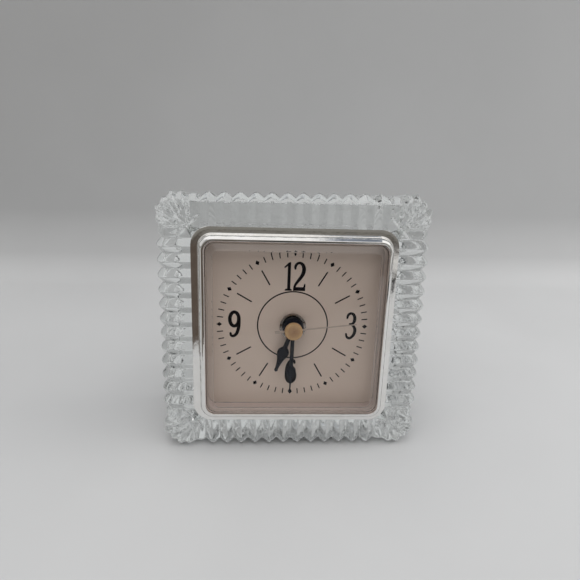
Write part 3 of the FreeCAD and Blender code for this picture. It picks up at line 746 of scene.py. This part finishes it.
# the satin lining between the lens's skirt and the bezel, in the dial's finish
lin = [(33.32, 0.05), (33.32, 8.2), (33.42, 8.2), (33.42, 0.05)]
v, f = loft([square(h, 3.95, z, 12, 8, 0.0, 0.25) for h, z in lin], closed=True)
n_lin = len(f)
rim = [(32.30, 6.72), (32.72, 7.24), (32.76, 7.20), (32.76, 6.9), (32.45, 6.70)]
v, f = merge((v, f), loft([square(h, 3.5, z, 12, 8, 0.0, 0.25) for h, z in rim], closed=True))
lining = piece("dial_lining", v, f, PLACE_BEZEL, ROOT, (), 30)
paint(lining, LINING)
lining.data.materials.append(CHAMP.m)
for q in lining.data.polygons[n_lin:]:
    q.material_index = 1
fix_normals(lining)


# ---------------------------------------------------------------- print on the dial
def catmull(pts, n=10):
    P = [pts[0]] + list(pts) + [pts[-1]]
    out = []
    for i in range(1, len(P) - 2):
        for k in range(n):
            t = k / n
            q = []
            for c in range(len(P[0])):
                a, b, d, e = P[i - 1][c], P[i][c], P[i + 1][c], P[i + 2][c]
                q.append(0.5 * (2 * b + (d - a) * t + (2 * a - 5 * b + 4 * d - e) * t * t
                                + (3 * b - a - 3 * d + e) * t ** 3))
            out.append(tuple(q))
    out.append(tuple(P[-2]))
    return out


PRINT_Z = 0.012
pv, pf = [], []


def flat(points):
    """A convex outline as one face of print."""
    i0 = len(pv)
    pv.extend((x * R, y * R, PRINT_Z) for x, y in points)
    pf.append(tuple(range(i0, len(pv))))


def ribbon(pts, ends=(True, True)):
    """A printed stroke along (x, y, width) points, with round ends."""
    c = catmull(pts)
    i0 = len(pv)
    n = len(c)
    for i, (x, y, w) in enumerate(c):
        a, b = c[max(0, i - 1)], c[min(n - 1, i + 1)]
        dx, dy = b[0] - a[0], b[1] - a[1]
        d = hypot(dx, dy) or 1.0
        nx, ny = -dy / d, dx / d
        pv.append(((x + nx * w / 2) * R, (y + ny * w / 2) * R, PRINT_Z))
        pv.append(((x - nx * w / 2) * R, (y - ny * w / 2) * R, PRINT_Z))
    for i in range(n - 1):
        a = i0 + 2 * i
        pf.append((a, a + 1, a + 3, a + 2))
    for on, (x, y, w) in zip(ends, (c[0], c[-1])):
        if on:
            flat([(x + w / 2 * cos(2 * pi * k / 20), y + w / 2 * sin(2 * pi * k / 20)) for k in range(20)])


for i in range(60):                                   # minute ticks
    if i % 5:
        a = radians(6 * i)
        ux, uy = sin(a), cos(a)
        w = 0.0075
        flat([(ux * 0.955 + uy * w, uy * 0.955 - ux * w), (ux * 1.035 + uy * w, uy * 1.035 - ux * w),
              (ux * 1.035 - uy * w, uy * 1.035 + ux * w), (ux * 0.955 - uy * w, uy * 0.955 + ux * w)])
for i in range(12):                                   # diamonds
    a = radians(30 * i)
    ux, uy = sin(a), cos(a)
    flat([(ux * 1.037, uy * 1.037), (ux - uy * 0.030, uy + ux * 0.030),
          (ux * 0.963, uy * 0.963), (ux + uy * 0.030, uy - ux * 0.030)])
    if i % 3:                                         # hour lines
        w = 0.0095
        flat([(ux * 0.653 + uy * w, uy * 0.653 - ux * w), (ux * 0.882 + uy * w, uy * 0.882 - ux * w),
              (ux * 0.882 - uy * w, uy * 0.882 + ux * w), (ux * 0.653 - uy * w, uy * 0.653 + ux * w)])
ring_n = 128                                          # thin ring
for i in range(ring_n):
    a0, a1 = 2 * pi * i / ring_n, 2 * pi * (i + 1) / ring_n
    flat([(0.471 * cos(a0), 0.471 * sin(a0)), (0.489 * cos(a0), 0.489 * sin(a0)),
          (0.489 * cos(a1), 0.489 * sin(a1)), (0.471 * cos(a1), 0.471 * sin(a1))])
# numeral 1: stem, flag, foot
flat([(-0.095, 0.500), (-0.053, 0.500), (-0.053, 0.888), (-0.066, 0.888), (-0.095, 0.862)])
flat([(-0.066, 0.888), (-0.086, 0.879), (-0.143, 0.820), (-0.134, 0.804), (-0.090, 0.836)])
flat([(-0.127, 0.493), (-0.030, 0.493), (-0.033, 0.513), (-0.053, 0.524), (-0.095, 0.524), (-0.124, 0.513)])
# numeral 2
ribbon([(0.006, 0.800, .028), (0.008, 0.832, .036), (0.027, 0.866, .036), (0.064, 0.878, .036),
        (0.100, 0.858, .044), (0.120, 0.815, .051), (0.121, 0.765, .052), (0.104, 0.712, .049),
        (0.068, 0.655, .044), (0.030, 0.603, .037), (0.008, 0.560, .033), (0.002, 0.525, .033)], (True, False))
flat([(-0.016, 0.493), (0.148, 0.493), (0.150, 0.520), (0.146, 0.546), (-0.012, 0.546)])
ribbon([(0.132, 0.530, .030), (0.138, 0.556, .026), (0.141, 0.586, .018)], (False, True))


def nine(cx, cy, s, turn):
    c, q = cos(turn), sin(turn)
    P = lambda x, y, w: (cx + (x * c - y * q) * s, cy + (x * q + y * c) * s, w * s)
    n = 28
    loop = [P(0.061 * cos(2 * pi * i / n), 0.076 + 0.100 * sin(2 * pi * i / n),
              0.050 - 0.003 * abs(sin(2 * pi * i / n))) for i in range(n + 1)]
    ribbon(loop, (False, False))
    ribbon([P(0.061, 0.090, .050), P(0.062, 0.02, .049), P(0.058, -0.045, .048), P(0.044, -0.105, .046),
            P(0.020, -0.150, .043), P(-0.014, -0.170, .040), P(-0.042, -0.160, .036), P(-0.050, -0.128, .030)],
           (False, True))


nine(-0.797, 0.0, 1.0, 0.0)
nine(0.0015, -0.682, 0.965, pi)
# numeral 3
ribbon([(0.752, 0.118, .026), (0.757, 0.152, .034), (0.778, 0.180, .036), (0.806, 0.187, .036),
        (0.835, 0.171, .041), (0.853, 0.131, .044), (0.854, 0.088, .044), (0.843, 0.054, .038),
        (0.822, 0.037, .030), (0.790, 0.034, .026)])
ribbon([(0.792, 0.030, .026), (0.836, 0.010, .034), (0.862, -0.028, .043), (0.868, -0.072, .045),
        (0.856, -0.120, .043), (0.831, -0.156, .039), (0.800, -0.175, .038), (0.770, -0.166, .034),
        (0.753, -0.138, .030), (0.748, -0.112, .026)])
# thin slab, so that the print is a closed film on the dial
film_v = list(pv) + [(x, y, 0.001) for x, y, z in pv]
film_f = list(pf)
k0 = len(pv)
edge_count = {}
for q in pf:
    for a, b in zip(q, q[1:] + q[:1]):
        edge_count[(a, b)] = edge_count.get((a, b), 0) + 1
for (a, b) in edge_count:
    if (b, a) not in edge_count:
        film_f.append((a, b, b + k0, a + k0))
dial_print = piece("dial_print", film_v, film_f, PLACE, ROOT, (), 30)
paint(dial_print, INK)


# ---------------------------------------------------------------- turned pieces
def lathe(section, n=72):
    """Section (r, z) turned about the clock's axis."""
    verts, faces = [], []
    for r, z in section:
        for i in range(n):
            a = 2 * pi * i / n
            verts.append((r * cos(a), r * sin(a), z))
    m = len(section)
    for i in range(m):
        a, b = i * n, ((i + 1) % m) * n
        for j in range(n):
            k = (j + 1) % n
            faces.append((a + j, a + k, b + k, b + j))
    return verts, faces


nut_sec = [(3.92, 0.0), (4.85, 0.0), (4.85, 1.62), (4.95, 1.74), (5.08, 1.90), (5.10, 1.95), (5.10, 1.985), (5.09, 2.0),
           (5.05, 2.0), (4.60, 2.0), (4.585, 1.992), (4.57, 2.0), (4.53, 2.0), (4.02, 2.0), (3.92, 1.93)]
v, f = lathe(nut_sec, 96)
# the nut sits a hair off square, its upper edge lower
v = [(x, y, z - 0.0190 * y if z > 1.85 else z) for x, y, z in v]
nut = piece("hub_nut_turned", v, f, PLACE, ROOT, ("hub_nut",), 25)
fix_normals(nut)
paint(nut, NUT)


# ---------------------------------------------------------------- hands
def blade_outline(prof, tip_r, n_tip=18):
    """Half outline (distance, half width) and a round tip."""
    pts = list(prof)
    s_end, w_end = pts[-1]
    c = s_end + tip_r * 0.9
    for i in range(1, n_tip + 1):
        a = radians(-81 + (171) * i / n_tip)
        pts.append((c + tip_r * sin(a), tip_r * cos(a)))
    return pts


def smooth_prof(points, n=8):
    return [(a, b) for a, b in catmull(points, n)]


def crowned_blade(outline, z0, t, crown):
    """A stamped hand: flat back, edge rounded over to a lightly crowned face. outline: (distance, half width)."""
    rows = [(-1.0, 0.0, 0.0), (-1.0, 0.55, 0.0), (-0.93, 0.85, 0.0), (-0.6, 1.0, 0.6), (0.0, 1.0, 1.0),
            (0.6, 1.0, 0.6), (0.93, 0.85, 0.0), (1.0, 0.55, 0.0), (1.0, 0.0, 0.0)]
    verts, faces = [], []
    for s, w in outline:
        for u, h, c in rows:
            verts.append((u * w, s, z0 + h * t + c * crown * min(1.0, w / 1.2)))
    m = len(rows)
    for i in range(len(outline) - 1):
        for j in range(m):
            k = (j + 1) % m
            a, b = i * m, (i + 1) * m
            faces.append((a + j, b + j, b + k, a + k))
    faces.append(tuple(range(m)))
    faces.append(tuple(reversed(range((len(outline) - 1) * m, len(outline) * m))))
    return verts, faces


def aim(verts, clock_deg):
    a = radians(-clock_deg)
    c, q = cos(a), sin(a)
    return [(x * c - y * q, x * q + y * c, z) for x, y, z in verts]


def hub(ro, ri, z0, t, up):
    return [(ri, z0 - 0.5), (up, z0 - 0.5), (up, z0), (ro - 0.08, z0), (ro, z0 + 0.06), (ro, z0 + t - 0.08),
            (ro - 0.08, z0 + t), (up + 0.1, z0 + t), (up, z0 + t + 0.1), (up, z0 + 0.52), (up - 0.08, z0 + 0.6), (ri, z0 + 0.6)]


BLADE = 0.3
h_prof = [(0.10 * R, 0.030 * R), (0.20 * R, 0.030 * R), (0.285 * R, 0.031 * R)]
h_prof += smooth_prof([(0.300 * R, 0.035 * R), (0.318 * R, 0.056 * R), (0.348 * R, 0.076 * R), (0.385 * R, 0.081 * R),
                       (0.43 * R, 0.070 * R), (0.50 * R, 0.043 * R), (0.58 * R, 0.027 * R), (0.625 * R, 0.0225 * R)])
blade_h = crowned_blade(blade_outline(h_prof, 0.026 * R), 3.1, BLADE, 0.12)
v, f = merge(blade_h, lathe(hub(4.1, 2.2, 3.1, BLADE, 3.0), 64))
hour = piece("hour_hand_blade", aim(v, 199.0), f, PLACE, "hours", ("hour_hand",), 40)
fix_normals(hour)
paint(hour, HANDB)
m_prof = [(0.10 * R, 0.026 * R), (0.40 * R, 0.026 * R), (0.52 * R, 0.0265 * R)]
m_prof += smooth_prof([(0.534 * R, 0.029 * R), (0.552 * R, 0.047 * R), (0.580 * R, 0.063 * R), (0.615 * R, 0.068 * R),
                       (0.66 * R, 0.057 * R), (0.72 * R, 0.032 * R), (0.78 * R, 0.016 * R), (0.83 * R, 0.011 * R),
                       (0.885 * R, 0.0105 * R)])
blade_m = crowned_blade(blade_outline(m_prof, 0.023 * R), 4.5, BLADE, 0.12)
v, f = merge(blade_m, lathe(hub(3.9, 1.45, 4.5, BLADE, 2.3), 64))
minute = piece("minute_hand_blade", aim(v, 180.9), f, PLACE, "minutes", ("minute_hand",), 40)
fix_normals(minute)
paint(minute, HANDB)

# seconds hand: a thin needle with a widening tail
needle = [(-0.25 * R, 0.50), (-0.235 * R, 0.56), (-0.11 * R, 0.34), (0.0, 0.34), (0.40 * R, 0.25), (0.845 * R, 0.18), (0.85 * R, 0.14)]
nv, nf = crowned_blade(needle, 5.95, 0.25, 0.02)
v, f = merge((nv, nf), lathe([(0.62, 5.62), (1.0, 5.62), (1.1, 5.7), (1.1, 6.0), (0.62, 6.0)], 32))
second = piece("second_hand_needle", aim(v, 83.0), f, PLACE, "seconds", ("second_hand",), 40)
fix_normals(second)
paint(second, CHAMP)
cap_sec = [(0.0, 6.16), (3.05, 6.16), (3.26, 6.22), (3.36, 6.36), (3.36, 7.28), (3.33, 7.42), (3.24, 7.58), (3.08, 7.71),
           (2.90, 7.775), (2.70, 7.79), (1.6, 7.775), (0.62, 7.76), (0.50, 7.74), (0.40, 7.66), (0.30, 7.62), (0.0, 7.61)]
cv, cf = lathe([(max(r, 1e-4), z) for r, z in cap_sec], 72)
cap = piece("second_hand_cap", aim(cv, 83.0), cf[:-72] + [tuple(reversed(range(72))), tuple(range(len(cv) - 72, len(cv)))],
            PLACE, "seconds", (), 30)
fix_normals(cap)
paint(cap, CAP)

# ---------------------------------------------------------------- stage
FLOOR_X0, FLOOR_X1, WALL_Y, WALL_R, WALL_H = -0.30, 0.36, 0.196, 0.045, 0.205


def sheet_front(x):
    return min(0.08, -0.180 - 1.13 * (x + 0.060))


def stage_sheet():
    nx, nf = 44, 6
    curve = []
    for i in range(17):
        a = radians(90 * i / 16)
        curve.append((WALL_Y - WALL_R + WALL_R * sin(a), WALL_R - WALL_R * cos(a)))
    curve.append((WALL_Y, WALL_H))
    verts, faces = [], []
    rows = nf + len(curve)
    for j in range(rows):
        for i in range(nx + 1):
            x = FLOOR_X0 + (FLOOR_X1 - FLOOR_X0) * i / nx
            if j < nf:
                y0 = sheet_front(x)
                y, z = y0 + (curve[0][0] - y0) * j / nf, 0.0
            else:
                y, z = curve[j - nf]
            verts.append((x, y, z - 0.00002))
    for j in range(rows - 1):
        for i in range(nx):
            a = j * (nx + 1) + i
            faces.append((a, a + 1, a + nx + 2, a + nx + 1))
    me = bpy.data.meshes.new("backdrop")
    me.from_pydata(verts, [], faces)
    for p in me.polygons:
        p.use_smooth = True
    ob = bpy.data.objects.new("backdrop", me)
    bpy.context.scene.collection.objects.link(ob)
    m = Mat("backdrop_paper")
    n = m.noise(9, 4, 0.5)
    sep = m.node("SeparateXYZ")
    m.link(m.coord, sep.inputs[0])
    tone = m.node("MixRGB", blend_type="MULTIPLY")
    tone.inputs["Fac"].default_value = 1.0
    m.link(m.ramp(n, [(0.3, (0.565, 0.57, 0.575)), (0.7, (0.60, 0.605, 0.61))]), tone.inputs["Color1"])
    # painted shade: the paper darkens by about a fifth from the floor to 14 mm up the cove, so the wall is darker than
    # the floor
    m.link(m.ramp(m.grey(sep.outputs[2], 0.0, 1.0, 0.0003, 0.014), [(0.0, (1.0, 1.0, 1.0)), (1.0, (0.79, 0.79, 0.79))]),
           tone.inputs["Color2"])
    m.set(Base_Color=tone.outputs[0])
    m.set(Roughness=m.grey(n, 0.75, 0.85))
    m.bump(m.noise(700, 3, 0.5), 0.05, 0.0002)
    me.materials.append(m.m)
    return ob


stage_sheet()

# ---------------------------------------------------------------- world and lamps
world = bpy.data.worlds.new("room")
bpy.context.scene.world = world
world.use_nodes = True
wt = world.node_tree
bg = wt.nodes["Background"]


def wnode(kind, **k):
    n = wt.nodes.new("ShaderNode" + kind)
    for a, b in k.items():
        setattr(n, a, b)
    return n


tc = wnode("TexCoord")
sep = wnode("SeparateXYZ")
wt.links.new(tc.outputs["Generated"], sep.inputs[0])
DX, DY, DZ = sep.outputs


def span(sock, a, b, lo=0.0, hi=1.0):
    n = wnode("MapRange", interpolation_type="SMOOTHSTEP")
    n.inputs["From Min"].default_value, n.inputs["From Max"].default_value = a, b
    n.inputs["To Min"].default_value, n.inputs["To Max"].default_value = lo, hi
    wt.links.new(sock, n.inputs["Value"])
    return n.outputs["Result"]


def mul(a, b):
    n = wnode("Math", operation="MULTIPLY")
    for s, v_ in zip(n.inputs, (a, b)):
        if isinstance(v_, bpy.types.NodeSocket):
            wt.links.new(v_, s)
        else:
            s.default_value = v_
    return n.outputs[0]


def over(base, colour, fac):
    n = wnode("MixRGB")
    if isinstance(base, bpy.types.NodeSocket):
        wt.links.new(base, n.inputs["Color1"])
    else:
        n.inputs["Color1"].default_value = (*base, 1)
    n.inputs["Color2"].default_value = (*colour, 1)
    wt.links.new(fac, n.inputs["Fac"])
    return n.outputs["Color"]


def add(a, b):
    n = wnode("Math", operation="ADD")
    for s, v_ in zip(n.inputs, (a, b)):
        if isinstance(v_, bpy.types.NodeSocket):
            wt.links.new(v_, s)
        else:
            s.default_value = v_
    return n.outputs[0]


# the room: dim below, pale walls, a soft ceiling light that is duller to the right
sky = over((0.060, 0.048, 0.040), (0.27, 0.26, 0.235), span(DZ, -0.06, -0.03))
sky = over(sky, (0.42, 0.415, 0.41), span(DZ, 0.05, 0.35))
ceiling = over((1.25, 1.24, 1.23), (0.23, 0.26, 0.32), span(DX, 0.10, 0.17))
n = wnode("MixRGB")
wt.links.new(sky, n.inputs["Color1"])
wt.links.new(ceiling, n.inputs["Color2"])
wt.links.new(span(DZ, 0.55, 0.75), n.inputs["Fac"])
sky = n.outputs["Color"]
# above and behind: the pale upper wall
sky = over(sky, (0.78, 0.785, 0.79), mul(span(DY, 0.10, 0.35), mul(span(DZ, 0.43, 0.50), span(DZ, 0.74, 0.64))))
sky = over(sky, (1.25, 1.24, 1.23), mul(mul(span(DY, 0.05, 0.15), span(DX, 0.17, 0.10)), span(DZ, 0.62, 0.70)))
# left side: dull
sky = over(sky, (0.33, 0.315, 0.30), mul(span(DX, -0.45, -0.65), span(DZ, 0.02, -0.08)))
# up and to the right: a lit corner of the room
sky = over(sky, (1.40, 1.39, 1.37), mul(mul(span(DX, 0.26, 0.32), span(DY, 0.30, 0.18)), mul(span(DX, 0.92, 0.85), span(DZ, 0.36, 0.44))))
sky = over(sky, (0.80, 0.79, 0.78), mul(span(DX, -0.50, -0.65), mul(span(DZ, 0.08, 0.16), span(DZ, 0.70, 0.60))))
# above the viewer: a soft window
sky = over(sky, (1.70, 1.69, 1.67), mul(mul(span(DX, -0.42, -0.34), span(DX, 0.42, 0.34)), mul(span(DY, -0.45, -0.55), mul(span(DZ, 0.46, 0.52), span(DZ, 0.68, 0.62)))))
# right side: a pale wall down to just under the horizon
sky = over(sky, (0.80, 0.80, 0.79), mul(span(DX, 0.45, 0.70), mul(span(DZ, -0.20, -0.16), span(DZ, 0.55, 0.30))))
# in front: a dark band under the horizon, its top edge sinking to the right, pale above it at the right
FRONT = span(DY, -0.45, -0.70)
edge = add(DZ, span(DX, 0.02, 0.20, 0.062, 0.130))
sky = over(sky, (0.86, 0.85, 0.83), mul(FRONT, mul(span(DX, 0.17, 0.23), mul(span(DZ, -0.135, -0.120), span(DZ, -0.076, -0.094)))))
low = over((0.125, 0.098, 0.080), (0.012, 0.012, 0.014), span(DX, -0.05, 0.04))
n = wnode("MixRGB")
wt.links.new(sky, n.inputs["Color1"])
wt.links.new(low, n.inputs["Color2"])
wt.links.new(mul(FRONT, span(edge, 0.006, -0.006)), n.inputs["Fac"])
sky = n.outputs["Color"]
# low at the left, beside the viewer: a pale strip
sky = over(sky, (0.66, 0.66, 0.65), mul(mul(span(DX, -0.60, -0.68), span(DY, -0.20, -0.27)), mul(span(DZ, -0.34, -0.28), span(DZ, 0.04, -0.01))))
# seen through the glass the lights are softer
lp = wnode("LightPath")
n = wnode("MixRGB", blend_type="DARKEN")
wt.links.new(sky, n.inputs["Color1"])
n.inputs["Color2"].default_value = (0.70, 0.71, 0.71, 1)
wt.links.new(lp.outputs["Is Transmission Ray"], n.inputs["Fac"])
n2 = wnode("MixRGB", blend_type="LIGHTEN")
wt.links.new(n.outputs["Color"], n2.inputs["Color1"])
n2.inputs["Color2"].default_value = (0.35, 0.355, 0.35, 1)
wt.links.new(lp.outputs["Is Transmission Ray"], n2.inputs["Fac"])
# past the edges of the backdrop the room is plain
n = wnode("MixRGB")
wt.links.new(n2.outputs["Color"], n.inputs["Color1"])
n.inputs["Color2"].default_value = (0.45, 0.455, 0.46, 1)
wt.links.new(lp.outputs["Is Camera Ray"], n.inputs["Fac"])
sky = n.outputs["Color"]
wt.links.new(sky, bg.inputs["Color"])
bg.inputs["Strength"].default_value = 0.80


def lamp(name, loc, target, size, power, colour, size_y=None):
    d = bpy.data.lights.new(name, "AREA")
    d.shape = "RECTANGLE"
    d.size, d.size_y = size, size_y or size
    d.energy = power
    d.color = colour
    ob = bpy.data.objects.new(name, d)
    bpy.context.scene.collection.objects.link(ob)
    ob.location = loc
    ob.rotation_mode = "QUATERNION"
    ob.rotation_quaternion = (Vector(target) - Vector(loc)).to_track_quat("-Z", "Y")
    return ob


key = lamp("key", (-0.03, -0.28, 0.72), (0, 0, 0.02), 0.50, 1.04, (1.0, 0.995, 0.985), 0.55)
key.visible_glossy = False
key.visible_transmission = False
side = lamp("side", (0.60, -0.05, 0.34), (0.0, 0.15, 0.08), 0.36, 1.15, (1.0, 0.995, 0.99))
side.visible_glossy = False
side.visible_transmission = False

# ---------------------------------------------------------------- camera
CAM_ROWS = ((0.9977875, 0.03839622, 0.05427564),
            (0.02215073, -0.96172004, 0.27313715),
            (0.0626854, -0.27133059, -0.96044274))
CAM_AT = Vector((-0.4786363, 2.35401786, 6.51316649)) * (R * 1e-3)
rot = PLACE.to_3x3()
right, down, ahead = (rot @ Vector(r) for r in CAM_ROWS)
m = Matrix.Identity(4)
for i in range(3):
    m[i][0], m[i][1], m[i][2] = right[i], -down[i], -ahead[i]
m.translation = PLACE @ CAM_AT
cam = bpy.data.cameras.new("camera")
cam.sensor_width = 36.0
cam.sensor_fit = "HORIZONTAL"
cam.lens = 501.95998 * 36.0 / 580.0
cam.clip_start, cam.clip_end = 0.005, 20.0
cam_ob = bpy.data.objects.new("camera", cam)
bpy.context.scene.collection.objects.link(cam_ob)
cam_ob.matrix_world = m
cam_ob.location += PLACE.to_3x3() @ Vector((0, -0.4e-3, 0))
bpy.context.scene.camera = cam_ob
bpy.context.scene.view_settings.view_transform = "Standard"
cy = bpy.context.scene.cycles
cy.max_bounces, cy.transmission_bounces, cy.glossy_bounces, cy.diffuse_bounces = 24, 20, 8, 5
